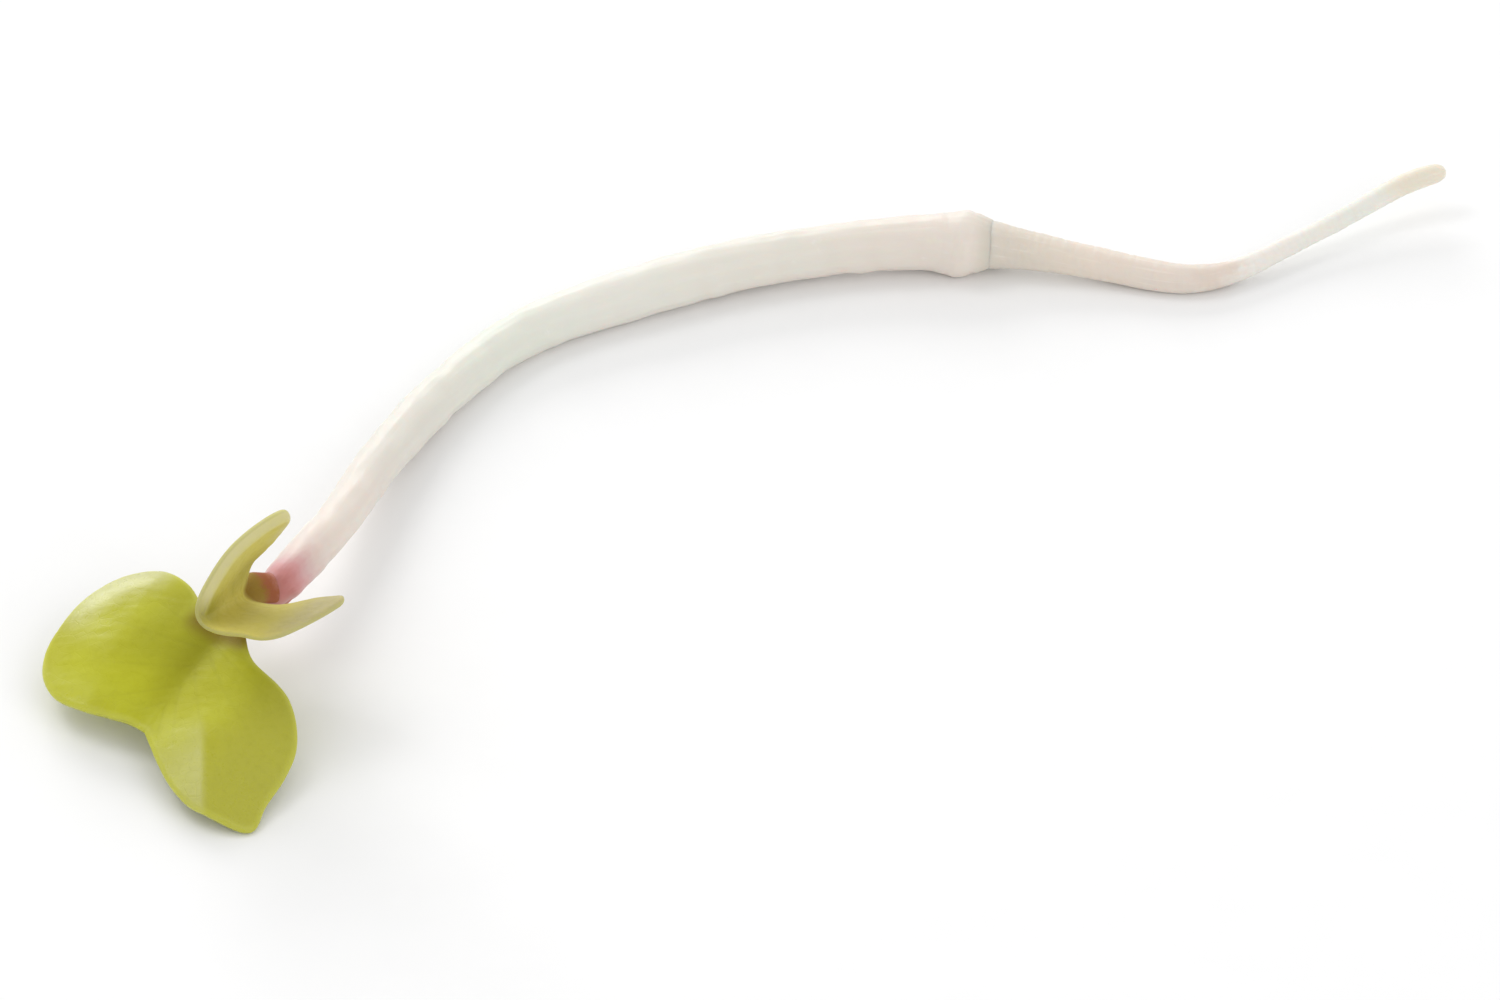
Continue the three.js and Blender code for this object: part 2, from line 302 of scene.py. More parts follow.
def closed_skin(name, grid, layers, material):
    """A closed surface from a grid of rings: faces join neighbouring rings, and a fan closes each end.

    The grid is rings by points round a ring. A layer has one value, or a vector, for each of its points.
    Each end's fan meets in the mean of its ring. The faces are turned so that the volume is positive.
    """
    rings, sides = grid.shape[:2]
    count = rings * sides
    places = np.vstack([grid.reshape(-1, 3), grid[0].mean(axis=0), grid[-1].mean(axis=0)])
    ring, side = np.meshgrid(np.arange(rings - 1), np.arange(sides), indexing="ij")
    a = ring * sides + side
    b = ring * sides + (side + 1) % sides
    quads = np.stack([a, b, b + sides, a + sides], axis=-1).reshape(-1, 4)
    here = np.arange(sides)
    after = (here + 1) % sides
    first = np.stack([np.full(sides, count), after, here], axis=-1)
    last = np.stack([np.full(sides, count + 1), here, after], axis=-1)
    last[:, 1:] += count - sides
    fans = np.vstack([first, last])
    corners = places[quads]
    volume = (
        np.einsum("ij,ij->i", corners[:, 0], np.cross(corners[:, 1], corners[:, 2])).sum()
        + np.einsum("ij,ij->i", corners[:, 0], np.cross(corners[:, 2], corners[:, 3])).sum()
    )
    if volume < 0:
        quads = quads[:, ::-1]
        fans = fans[:, ::-1]

    mesh = bpy.data.meshes.new(name)
    mesh.vertices.add(len(places))
    mesh.vertices.foreach_set("co", (places * MM).astype(np.float32).ravel())
    corner_list = np.concatenate([quads.ravel(), fans.ravel()])
    sizes = np.concatenate([np.full(len(quads), 4), np.full(len(fans), 3)])
    mesh.loops.add(len(corner_list))
    mesh.loops.foreach_set("vertex_index", corner_list.astype(np.int32))
    mesh.polygons.add(len(sizes))
    mesh.polygons.foreach_set("loop_start", (np.cumsum(sizes) - sizes).astype(np.int32))
    mesh.polygons.foreach_set("use_smooth", np.ones(len(sizes), bool))
    mesh.update(calc_edges=True)
    for key, values in layers.items():
        kind = "FLOAT" if values.ndim == 2 else "FLOAT_VECTOR"
        field = "value" if values.ndim == 2 else "vector"
        flat = values.reshape(count, -1)
        ends = np.vstack([values[i].reshape(sides, -1).mean(axis=0) for i in (0, -1)])
        layer = mesh.attributes.new(key, kind, "POINT")
        layer.data.foreach_set(field, np.vstack([flat, ends]).astype(np.float32).ravel())
    mesh.materials.append(material)
    piece = bpy.data.objects.new(name, mesh)
    bpy.context.scene.collection.objects.link(piece)
    return piece


def on_table(grid):
    """The grid moved to the frame's origin, with what would sink into the table pressed flat on it."""
    moved = grid - MIDDLE
    moved[..., 2] = np.maximum(moved[..., 2], 0)
    return moved


# The stem and the root

RUN = eased(smooth_line(MIDDLE_LINE, LINE_STEP), LINE_EASING)
RUN_AHEAD = unit(np.gradient(RUN, axis=0))
RUN_RIGHT = unit(np.cross(RUN_AHEAD, (0, 0, 1)))
RUN_UP = np.cross(RUN_RIGHT, RUN_AHEAD)


def along_run(distance):
    """Centre, ahead, right and up at distances along the run. Past its ends the run goes on straight."""
    length = (len(RUN) - 1) * LINE_STEP
    inside = np.clip(distance, 0, length)
    where = inside / LINE_STEP
    steps = np.arange(len(RUN))
    centre, ahead, right, up = (
        np.stack([np.interp(where, steps, axis) for axis in rows.T], axis=-1)
        for rows in (RUN, RUN_AHEAD, RUN_RIGHT, RUN_UP)
    )
    return centre + ahead * (distance - inside)[..., None], ahead, right, up


def turned_grid(profile, rings, sides, relief):
    """A profile of distance and radius carried along the run, with a relief added to the radius.

    Returns the grid, and the same points on the straightened run: distance, right and up. The relief is
    a function of the straightened points, the distance, the angle and the smooth radius.
    """
    curve = smooth_line(profile, PROFILE_STEP)
    pick = np.linspace(0, len(curve) - 1, rings)
    steps = np.arange(len(curve))
    distance = np.interp(pick, steps, curve[:, 0])[:, None]
    radius = np.maximum(np.interp(pick, steps, curve[:, 1]), TINY)[:, None]
    angle = np.linspace(0, TURN, sides, endpoint=False)[None, :]
    distance, radius, angle = np.broadcast_arrays(distance, radius, angle)
    straight = np.stack([distance, radius * np.cos(angle), radius * np.sin(angle)], axis=-1)
    full = smooth_step(0, RELIEF_WHOLE, radius)
    wide = radius + full * relief(straight, distance, angle)
    centre, _, right, up = along_run(distance)
    grid = centre + right * (wide * np.cos(angle))[..., None] + up * (wide * np.sin(angle))[..., None]
    return grid, straight


def bump_at(distance, angle, place, toward, length, width):
    """A round bump on the run: bell curves of the distance and of the angle, 1 at its top."""
    turn = (angle - np.radians(toward) + np.pi) % TURN - np.pi
    return np.exp(-(((distance - place) / length) ** 2) - (turn / np.radians(width)) ** 2)


def stem_relief(straight, distance, angle):
    """The stem's surface: slow swells, soft dents, fine ridges past the neck, and the collar's knob.

    The knob is fuller below, where it makes a heel, and square-shouldered above. Fine folds run round it.
    Each part has its height, in millimetres, and the straightened run is stretched for it.
    """
    swell = 0.018 * ripples(straight * (0.5, 1, 1), wavelength=5.0, seed=11)
    dents = 0.015 * ripples(straight * (1, 0.8, 0.8), wavelength=1.3, seed=12)
    ridges = 0.0055 * ripples(straight * (0.1, 1, 1), wavelength=0.32, seed=13)
    past_neck = smooth_step(2.0, 6.0, distance)
    collar = smooth_step(37.7, 39.7, distance)
    folds = 0.008 * ripples(straight * (1, 0.3, 0.3), wavelength=0.4, seed=14)
    heel = 0.13 * bump_at(distance, angle, place=39.8, toward=300, length=0.55, width=70)
    shoulder = 0.07 * bump_at(distance, angle, place=40.25, toward=125, length=0.4, width=60)
    return swell + dents + ridges * past_neck + folds * collar + heel + shoulder


def root_relief(straight, distance, angle):
    """The root's skin: slow swells, wrinkles round it and grooves along it.

    The wrinkles and grooves fade to half towards the tip.
    """
    fine = smooth_step(62, 52, distance) * 0.5 + 0.5
    swell = 0.02 * ripples(straight * (0.6, 1, 1), wavelength=3.2, seed=21)
    wrinkles = 0.0055 * ripples(straight * (1, 0.25, 0.25), wavelength=0.3, seed=22)
    grooves = 0.006 * ripples(straight * (0.12, 1, 1), wavelength=0.28, seed=23)
    return swell + (wrinkles + grooves) * fine


# The seed leaves

def folded(y, lobe, rounding):
    """How far a lobe's fold moves a point at y beside the crease, across and up.

    It walks out from the crease along the slope. The slope grows out of the crease's rounding and then
    changes evenly, from the first slope at the crease to the last one at the lobe's reach.
    """
    first, last = np.radians(lobe["slopes"])
    step = np.abs(y) / FOLD_STEPS
    across = -y.copy()
    up = np.zeros_like(y)
    for i in range(FOLD_STEPS):
        away = (i + 0.5) * step
        slope = first * away / np.hypot(away, rounding) + (last - first) * away / lobe["reach"]
        across += np.sign(y) * step * np.cos(slope)
        up += step * np.sin(slope)
    return across, up


def rim_line(leaf, lobe, step):
    """A lobe's rim on the flat leaf, carried on to the notch."""
    return smooth_line([*lobe["rim"], (leaf["crease"]["notch"], 0.0)], step)


def leaf_rows(leaf):
    """The rows of a flat leaf: their middles, their ends on both rims, how far each is spread, and its size.

    The first rows follow the stalk's line, from inside the stem to the blade. There they start small and
    grow over the line's first span. The others join points of the crease with even steps along the rims,
    and stop just short of the notch.
    """
    start, notch = leaf["crease"]["start"], leaf["crease"]["notch"]
    line = smooth_line(leaf["stalk"]["line"], STALK_STEP)
    hidden = np.linalg.norm(np.subtract(*leaf["stalk"]["line"][:2]))
    pick = np.linspace(0, 1, STALK_ROWS, endpoint=False)
    steps = np.linspace(0, 1, len(line))
    middles = np.stack([np.interp(pick, steps, axis) for axis in line.T], axis=1)
    total = (len(line) - 1) * STALK_STEP
    spread = np.clip((pick * total - hidden) / (total - hidden), 0, 1)
    size = STALK_START + (1 - STALK_START) * smooth_step(0, 1, pick * total / hidden)
    pace = np.linspace(0, LAST_ROW, BLADE_ROWS)
    blade = np.stack([start + (notch - start) * pace**CREASE_PACE, 0 * pace, 0 * pace], axis=1)
    ends = []
    for lobe in leaf["lobes"]:
        x, y = lobe["rim"][0]
        half = np.sign(y) * size * leaf["stalk"]["width"] / 2
        stalk_end = middles.copy()
        stalk_end[:, 0] += spread**2 * (x - start)
        stalk_end[:, 1] = (middles[:, 1] + half) * (1 - spread**2) + y * spread**2
        rim = rim_line(leaf, lobe, RIM_STEP)
        steps = np.linspace(0, 1, len(rim))
        rim_end = np.stack([*(np.interp(pace, steps, axis) for axis in rim.T), 0 * pace], axis=1)
        ends.append(np.vstack([stalk_end, rim_end]))
    whole = np.ones(BLADE_ROWS)
    return np.vstack([middles, blade]), ends, np.concatenate([spread, whole]), np.concatenate([size, whole])


def nearest(places, line):
    """The distance from each flat place to the nearest point of a line, and that point's share of it."""
    flat = places.reshape(-1, 2)
    best = np.full(len(flat), np.inf)
    share = np.zeros(len(flat))
    for i in range(0, len(line), LINE_CHUNK):
        part = line[i : i + LINE_CHUNK]
        gap = np.linalg.norm(flat[:, None] - part[None], axis=2)
        k = gap.argmin(axis=1)
        near = gap[np.arange(len(flat)), k]
        closer = near < best
        best = np.where(closer, near, best)
        share = np.where(closer, (i + k) / (len(line) - 1), share)
    return best.reshape(places.shape[:-1]), share.reshape(places.shape[:-1])


def vein_field(leaf, flat):
    """How strongly the veins show, from 0 to 1, on a flat leaf.

    The main vein is the crease, and fades over its second half. Side veins leave it and bend out towards
    the rim, along a curve of the second degree. Each is a bell curve of the distance from its line,
    which thins and fades towards its end. Where veins meet, the stronger one counts.
    """
    notch = leaf["crease"]["notch"]
    fading = smooth_step(notch, 0.5 * notch, flat[..., 0])
    veins = MAIN_VEIN["share"] * np.exp(-((flat[..., 1] / MAIN_VEIN["width"]) ** 2)) * fading
    t = np.linspace(0, 1, VEIN["points"])[:, None]
    for lobe in leaf["lobes"]:
        rim = rim_line(leaf, lobe, VEIN["rim_step"])
        for leaves_at, points_to in SIDE_VEINS:
            start = np.array([notch * leaves_at, 0.0])
            rim_point = rim[int(points_to * (len(rim) - 1))]
            end = start + (rim_point - start) * VEIN["reach"]
            bend = (start + end) / 2 + VEIN["bend"] * np.linalg.norm(end - start) * np.array([1, 0])
            line = (1 - t) ** 2 * start + 2 * t * (1 - t) * bend + t**2 * end
            gap, share = nearest(flat, line)
            width = VEIN["width"] * (1 - VEIN["thins"] * share)
            veins = np.maximum(veins, np.exp(-((gap / width) ** 2)) * (1 - VEIN["fades"] * share))
    return veins


def lobe_ridge(flat):
    """A low tent across one lobe: crisp along its line, steeper towards the rim than towards the base.

    Returns its height, and from 0 to 1 how far a point is on its steep side. The height is an
    exponential of the distance from the line, rounded at the line itself.
    """
    start, end = np.array(LOBE_RIDGE["start"]), np.array(LOBE_RIDGE["end"])
    ahead = unit(end - start)
    away = flat - start
    along = away @ ahead
    beside = away @ np.array([ahead[1], -ahead[0]])
    width = np.where(beside > 0, LOBE_RIDGE["steep"], LOBE_RIDGE["gentle"])
    crisp = np.hypot(beside, LOBE_RIDGE["soft"]) - LOBE_RIDGE["soft"]
    height = LOBE_RIDGE["height"] * np.exp(-crisp / width) * smooth_step(*LOBE_RIDGE["rises"], along)
    fading = np.exp(-np.maximum(beside, 0) / FACET_HIGHLIGHT["fades"])
    return height, smooth_step(*FACET_HIGHLIGHT["beside"], beside) * fading * smooth_step(*FACET_HIGHLIGHT["along"], along)


def folded_lobe(lobe, middles, end, rounding, flatter):
    """One lobe's rows from its rim to the crease: flat places, depths in from the rim, and lifts.

    Points lie close together near the rim. The fold bends the lobe, and where the crease is flatter it
    starts higher. The shoulder sags with the square of the way back to the stalk. The twist moves the
    outer part in proportion to the way along.
    """
    edge = 1 - np.cos(np.linspace(0, np.pi / 2, EDGE_COLUMNS + 1))
    inner = np.linspace(0, 1, LOBE_COLUMNS - EDGE_COLUMNS + 1)[1:]
    length = np.maximum(np.linalg.norm(end - middles, axis=1), TINY)[:, None]
    zone = np.minimum(EDGE_ROUND, length / 2)
    depth = np.concatenate([zone * edge, zone + (length - zone) * inner], axis=1)
    flat = end[:, None] + (middles - end)[:, None] * (depth / length)[..., None]
    along, beside = flat[..., 0], np.abs(flat[..., 1])
    across, up = folded(flat[..., 1] - middles[:, None, 1], lobe, rounding + flatter)
    up += np.radians(lobe["slopes"][0]) * flatter
    back = np.maximum(SHOULDER_START - along, 0)
    up -= lobe["shoulder"] * smooth_step(*SHOULDER_ZONE, beside) * back**2
    middle, twist_across, twist_up = lobe["twist"]
    turning = smooth_step(*TWIST_ZONE, beside) * (middle - along)
    across += twist_across * turning
    up += twist_up * turning
    return flat, depth, np.stack([0 * up, across, up], axis=-1)


def folded_sheet(leaf):
    """A leaf without its thickness, as rows from rim to rim: flat places, depths and folded places.

    Returns each row's spread and size too. The spread goes from 0 at the stalk's start to 1 on the blade.
    """
    middles, ends, spread, size = leaf_rows(leaf)
    crease = leaf["crease"]
    flattening = smooth_step(FLATTER_FROM * crease["notch"], crease["notch"], middles[:, [0]])
    flatter = crease["flattening"] * flattening
    first, second = (
        folded_lobe(lobe, middles, end, crease["rounding"], flatter) for lobe, end in zip(leaf["lobes"], ends)
    )
    flat, depth, lift = (np.concatenate([a, b[:, -2::-1]], axis=1) for a, b in zip(first, second))
    spread, size = spread[:, None], size[:, None]
    return flat, depth, flat + lift * spread[..., None] ** 2, spread, size


def upper_normals(surface):
    """Which way the sheet's upper face looks at each point, from its slopes along and across.

    Where the points of a row meet in one, that is straight up.
    """
    normal = np.cross(np.gradient(surface, axis=0), np.gradient(surface, axis=1))
    length = np.linalg.norm(normal, axis=-1, keepdims=True)
    least = 1e-9
    return np.where(length > least, normal / np.maximum(length, least), (0, 0, 1))


def thickness(leaf, seed, flat, depth, rim_gap, veins, spread, size):
    """How far the upper and the lower face stand off the sheet at each point.

    In the stalk both are an oval. On the blade they close in a quarter circle at the rim. The upper face
    is plumper away from the rim, with a groove along the crease. The lower face has a rib under the
    crease, lower towards the notch. Veins sink in above and stand out below.
    """
    notch = leaf["crease"]["notch"]
    side = 1 - depth / depth[:, [LOBE_COLUMNS]]
    oval = np.sqrt(np.clip(1 - side**2, 0, 1)) * size * leaf["stalk"]["height"] / 2
    rounded = np.sqrt(np.clip(1 - (1 - np.minimum(rim_gap / EDGE_ROUND, 1)) ** 2, 0, 1))
    taper = 1 - np.clip(flat[..., 0], 0, notch) / notch
    rib = spread * taper * RIB["height"] * np.exp(-((flat[..., 1] / RIB["width"]) ** 2))
    relief = VEIN["depth"] * veins * rounded
    grain = GRAIN["height"] * ripples(flat, GRAIN["length"], seed) * rounded
    other = smooth_step(*LOBES_MEET, flat[..., 1])
    first, second = leaf["lobes"]
    rise = first["above"] * (1 - other) + second["above"] * other
    plump = first["plump"] * (1 - other) + second["plump"] * other
    groove = leaf["groove"] * np.exp(-((flat[..., 1] / GROOVE_WIDTH) ** 2))
    blade = (rise + plump * (1 - np.exp(-rim_gap / PLUMP_WIDTH)) - groove) * rounded
    in_stalk = oval * (1 - spread**3)
    above = in_stalk + blade * spread**3 - relief + grain
    below = in_stalk + leaf["below"] * rounded * spread**3 + rib * rounded + VEIN["below"] * relief
    return above[..., None], below[..., None]


def ringed(upper, lower):
    """Rings from rows: the upper face from rim to rim, and then the lower face back again."""
    return np.concatenate([upper, lower[:, -2:0:-1]], axis=1)


def placed(leaf, grid):
    """The grid turned so that its crease points along and its upper face to facing, and moved to its base."""
    x = unit(np.array(leaf["along"], float))
    facing = np.array(leaf["facing"], float)
    z = unit(facing - x * (facing @ x))
    return grid @ np.stack([x, np.cross(z, x), z]) + np.array(leaf["base"])


def leaf_grid(leaf, seed, ridge):
    """The closed skin of a leaf as rings round it, from its stalk to the notch, and its layers.

    The folded sheet gets slow waves that grow away from the crease, and a ridge where asked. The two
    faces stand off it by the thickness. The layers say where on the leaf each point is.
    """
    flat, depth, surface, spread, size = folded_sheet(leaf)
    rims = np.vstack([rim_line(leaf, lobe, RIM_GAP_STEP) for lobe in leaf["lobes"]])
    rim_gap = np.minimum(nearest(flat[..., :2], rims)[0], depth)
    outward = smooth_step(*WAVE["across"], np.abs(flat[..., 1]))
    wave = ripples(flat * (1, 1, 0), WAVE["length"], seed)
    surface[..., 2] += spread * WAVE["height"] * outward * wave
    # How far each point lies on the ridge's steep side, where a painted highlight goes.
    facet_highlight = 0 * depth
    if ridge:
        height, facet_highlight = lobe_ridge(flat[..., :2])
        surface[..., 2] += spread * height

    normal = upper_normals(surface)
    veins = vein_field(leaf, flat[..., :2]) * spread**2
    above, below = thickness(leaf, seed + 1, flat, depth, rim_gap, veins, spread, size)
    grid = placed(leaf, ringed(surface + normal * above, surface - normal * below))
    spread = np.broadcast_to(spread, depth.shape)
    layers = {
        "flat": ringed(flat + above * (0, 0, 1), flat - below * (0, 0, 1)),
        "rim_gap": ringed(rim_gap, rim_gap),
        "vein": ringed(veins, veins),
        "facet_highlight": ringed(facet_highlight, 0 * facet_highlight),
        "spread": ringed(spread, spread),
        "under": ringed(0 * depth, 1 + 0 * depth),
    }
    return grid, layers


# Materials

# A noise mostly keeps within this span.
NOISE_SPAN = (0.3, 0.7)
# Zones of tone on the stem and the root, in millimetres along the run: from where a tone starts to where
# it is whole. A slant is how much further it reaches on the stem's right side, and less on its left.
# The last two lie across the stem and up it.
NECK_ZONE = (-0.5, 6.5)
NECK_SLANT = 0.5
NECK_TO_BODY = (2.5, 7.5)
NECK_TO_BODY_SLANT = 1.5
BODY_ZONE = (4.0, 41.0)
FIBRE_ZONE = (1.5, 6.0)
SPECK_ZONE = (2.0, 5.0)
# Painted shade: a darker band on the stem where it meets the root.
SEAM_SHADE_ZONE = (40.3, 41.1)
ROOT_ZONE = (41.0, 61.5)
LEFT_TO_RIGHT = (-1.0, 1.0)
# Painted shade: the stem's underside gets a warmer tone.
SHADED_UNDERSIDE = (0.2, -1.0)

# Zones of tone on a flat leaf, in millimetres: along its crease, across it (below zero on the first lobe),
# away from its crease, or in from its rim. The stalk's zones are shares of its spread.
TIP_ZONE = (2.2, 4.2)
# Where a painted highlight lies on the first lobe: across it, along it and in from its rim.
PAINTED_HIGHLIGHT_ZONE = {"across": (-2.8, -4.6), "along": (2.6, 0.4), "from_rim": (1.9, 0.5)}
# Where painted shade darkens a hollow of the first lobe, beside the crease.
HOLLOW_SHADE = {"outer": (-3.6, -2.0), "inner": (0.0, -1.4), "along": (3.4, 1.8)}
# Where the crease lies across the leaf, and how far out from it the crease's painted shade reaches.
CREASE_PLACE = -0.3
CREASE_SHADE_ZONE = (1.3, 0.0)
MARGIN_ZONE = (0.35, 0.0)
PLAINER_ZONE = (-1.5, 0.3)
# How far from the crease the brown at the stalk reaches; the brown is partly a painted shadow.
BASE_ZONE = (1.9, 1.0)
RED_ZONE = (0.74, 0.45)
PINK_ZONE = (0.42, 0.0)
DULL = {"across": (-0.5, 0.7), "from_crease": (4.2, 3.0), "along": (1.6, 3.4), "ends": (5.4, 3.8)}
# How much of each tone shows on a leaf where it is whole, and how much rougher the dull part is.
SHARES = {
    "second": 0.85, "tip": 0.8, "bloom": 0.5, "grain": 0.12, "net": 0.06, "vein": 0.14, "facet_highlight": 0.2,
    "hollow_shade": 0.3, "margin": 0.7, "back": 0.6, "dull": 0.35,
}

# Each leaf's tones, as screen values. The second lobe has its own, in its middle and at its tip; on the
# large leaf these are greyer and bluer, partly their own colour and partly a painted sheen. The pale
# highlight tone is painted, and the dark green and the brown also serve as painted shade.
LARGE_LEAF_TONES = {
    "face": (174, 173, 12), "bright": (182, 183, 20), "deep": (134, 130, 8), "margin": (196, 197, 84),
    "back": (174, 178, 82), "second": (179, 177, 66), "tip": (177, 175, 60), "bloom": (220, 220, 182),
    "pink": (190, 126, 118), "red": (134, 88, 22), "brown": (130, 110, 4),
}
SMALL_LEAF_TONES = {
    "face": (198, 184, 78), "bright": (200, 189, 92), "deep": (142, 134, 26), "margin": (210, 204, 162),
    "back": (182, 178, 112), "second": (199, 187, 97), "tip": (179, 169, 134), "bloom": (204, 198, 136),
    "pink": (192, 130, 122), "red": (148, 82, 46), "brown": (140, 110, 28),
}
# Each leaf's own zones, across it and along it, how dark the painted shade in its crease gets along that
# zone, how much plainer the second lobe's margin is, and the span of its roughness. The stalk's brown is
# partly its own tone and partly a painted shadow.
LARGE_LEAF_ZONES = {
    "second": (0.6, 6.4), "brown": (0.7, -0.3), "valley_shade": (5.0, 1.0), "valley_shares": (0.15, 0.55),
    "plainer": 0.3, "roughness": (0.26, 0.34),
}
SMALL_LEAF_ZONES = {
    "second": (0.0, 1.6), "brown": (0.6, 0.0), "valley_shade": (4.6, 2.6), "valley_shares": (0.8, 0.0),
    "plainer": 0.95, "roughness": (0.36, 0.46),
}


def shade(red, green, blue):
    """A colour given as screen values from 0 to 255, as the linear values that a shader takes."""
    screen = np.array([red, green, blue]) / 255
    linear = np.where(screen <= 0.04045, screen / 12.92, ((screen + 0.055) / 1.055) ** 2.4)
    return (*linear.tolist(), 1.0)


class Finish:
    """A material under construction: its node tree and the shader that ends it.

    Each method adds nodes and returns the socket that carries on. An input is a number or a socket.
    """

    def __init__(self, name, inputs):
        self.material = bpy.data.materials.new(name)
        self.material.use_nodes = True
        self.tree = self.material.node_tree
        self.shader = self.tree.nodes["Principled BSDF"]
        self.set(self.shader, inputs)

    def set(self, node, inputs):
        """Links a socket to an input of the node, or puts a number there."""
        for key, value in inputs.items():
            socket = node.inputs[key]
            if isinstance(value, bpy.types.NodeSocket):
                self.tree.links.new(value, socket)
            else:
                socket.default_value = value

    def add(self, kind, inputs, **settings):
        """A new node with its settings and inputs."""
        node = self.tree.nodes.new(kind)
        for key, value in settings.items():
            setattr(node, key, value)
        self.set(node, inputs)
        return node

    def layer(self, name, output="Vector"):
        """A layer of the mesh, as a vector or, with the output Fac, as a number."""
        return self.add("ShaderNodeAttribute", {}, attribute_name=name).outputs[output]

    def parts(self, vector):
        """The three numbers of a vector."""
        return self.add("ShaderNodeSeparateXYZ", {"Vector": vector}).outputs[:]

    def math(self, operation, a, b=0.0):
        """A sum, product, maximum or absolute value."""
        return self.add("ShaderNodeMath", {0: a, 1: b}, operation=operation).outputs[0]

    def between(self, value, low, high, start=0.0, end=1.0):
        """A smooth step from start, where the value is low, to end, where it is high."""
        inputs = {"Value": value, "From Min": low, "From Max": high, "To Min": start, "To Max": end}
        return self.add("ShaderNodeMapRange", inputs, interpolation_type="SMOOTHSTEP").outputs["Result"]

    def noise(self, vector, scale, detail=3.0, roughness=0.55):
        """A soft noise over a vector. A scale of three numbers stretches it."""
        if isinstance(scale, tuple):
            vector = self.add("ShaderNodeMapping", {"Vector": vector, "Scale": scale}).outputs["Vector"]
            scale = 1.0
        inputs = {"Vector": vector, "Scale": scale, "Detail": detail, "Roughness": roughness}
        return self.add("ShaderNodeTexNoise", inputs).outputs[0]

    def mix(self, factor, a, b):
        """Two colours mixed by a factor. The node's colour sockets have to be given by number."""
        return self.add("ShaderNodeMix", {0: factor, 6: a, 7: b}, data_type="RGBA").outputs[2]

    def ramp(self, value, stops):
        """A run of colours with eased steps between its stops."""
        node = self.add("ShaderNodeValToRGB", {"Fac": value})
        node.color_ramp.interpolation = "EASE"
        for _ in range(len(stops) - 2):
            node.color_ramp.elements.new(0.5)
        for element, (place, screen) in zip(node.color_ramp.elements, stops):
            element.position = place
            element.color = shade(*screen)
        return node.outputs["Color"]

    def relief(self, heights):
        """Fine bumps: pairs of a height from 0 to 1 and its full distance, below zero for a dent."""
        normal = {}
        for height, distance in heights:
            inputs = {"Height": height, "Distance": distance, "Strength": 1.0, **normal}
            normal = {"Normal": self.add("ShaderNodeBump", inputs).outputs["Normal"]}
        self.set(self.shader, normal)


def stem_finish():
    """Moist white skin: pink at the leaf end, a faint green core, beige towards the collar.

    Two runs of colour follow the stem, the neck's and the body's, and the first passes into the second.
    The neck's reaches further on the right side, and streaks make it uneven. Past the neck the skin has
    pale fibres and specks. A warmer tone below is painted shade on the underside, and a darker band at
    the root is painted shade where the stem meets it.
    """
    made = Finish("stem_skin", {
        "IOR": 1.42, "Specular IOR Level": 0.3, "Subsurface Weight": 0.55,
        "Subsurface Radius": (1.0, 0.62, 0.45), "Subsurface Scale": 0.9 * MM,
        "Coat Weight": 0.05, "Coat Roughness": 0.22,
    })
    skin = made.layer("skin")
    distance, right, up = made.parts(skin)
    streaks = made.noise(skin, (0.3, 1.6, 1.6))
    slanted = made.math("ADD", distance, made.between(right, *LEFT_TO_RIGHT, NECK_SLANT, -NECK_SLANT))
    uneven = made.math("ADD", slanted, made.between(streaks, *NOISE_SPAN, -0.3, 0.3))
    body = made.ramp(made.between(distance, *BODY_ZONE), [
        (0.0, (223, 215, 206)), (0.12, (221, 218, 209)), (0.4, (223, 225, 215)), (0.62, (226, 225, 217)),
        (0.86, (225, 222, 213)), (1.0, (226, 218, 209)),
    ])
    neck = made.ramp(made.between(uneven, *NECK_ZONE), [
        (0.0, (180, 116, 110)), (0.03, (194, 135, 133)), (0.07, (201, 150, 149)), (0.13, (205, 166, 164)),
        (0.2, (209, 182, 177)), (0.28, (214, 195, 187)), (0.4, (218, 204, 195)), (0.62, (223, 212, 202)),
        (1.0, (226, 218, 208)),
    ])
    slant = made.between(right, *LEFT_TO_RIGHT, NECK_TO_BODY_SLANT, -NECK_TO_BODY_SLANT)
    colour = made.mix(made.between(made.math("ADD", distance, slant), *NECK_TO_BODY), neck, body)
    fibres = made.noise(skin, (0.12, 5.0, 5.0))
    past_neck = made.between(distance, *FIBRE_ZONE)
    shown = made.math("MULTIPLY", made.between(fibres, 0.5, 0.75, end=0.3), past_neck)
    colour = made.mix(shown, colour, shade(224, 226, 208))
    # Painted shade: a warmer tone on the underside.
    colour = made.mix(made.between(up, *SHADED_UNDERSIDE, end=0.4), colour, shade(232, 216, 206))
    specks = made.noise(skin, 1.4, 5.0, 0.7)
    pale = made.math("MULTIPLY", made.between(specks, 0.6, 0.8, end=0.3), made.between(distance, *SPECK_ZONE))
    colour = made.mix(pale, colour, shade(244, 243, 238))
    # Painted shade at the seam with the root: the skin darkens there.
    colour = made.mix(made.between(distance, *SEAM_SHADE_ZONE, end=0.7), colour, shade(208, 199, 184))
    made.set(made.shader, {"Base Color": colour, "Roughness": made.between(specks, *NOISE_SPAN, 0.34, 0.48)})
    cells = made.noise(skin, (3.0, 14.0, 14.0), 2.0)
    made.relief([(made.math("MULTIPLY", fibres, past_neck), 0.018 * MM), (cells, 0.004 * MM)])
    return made.material


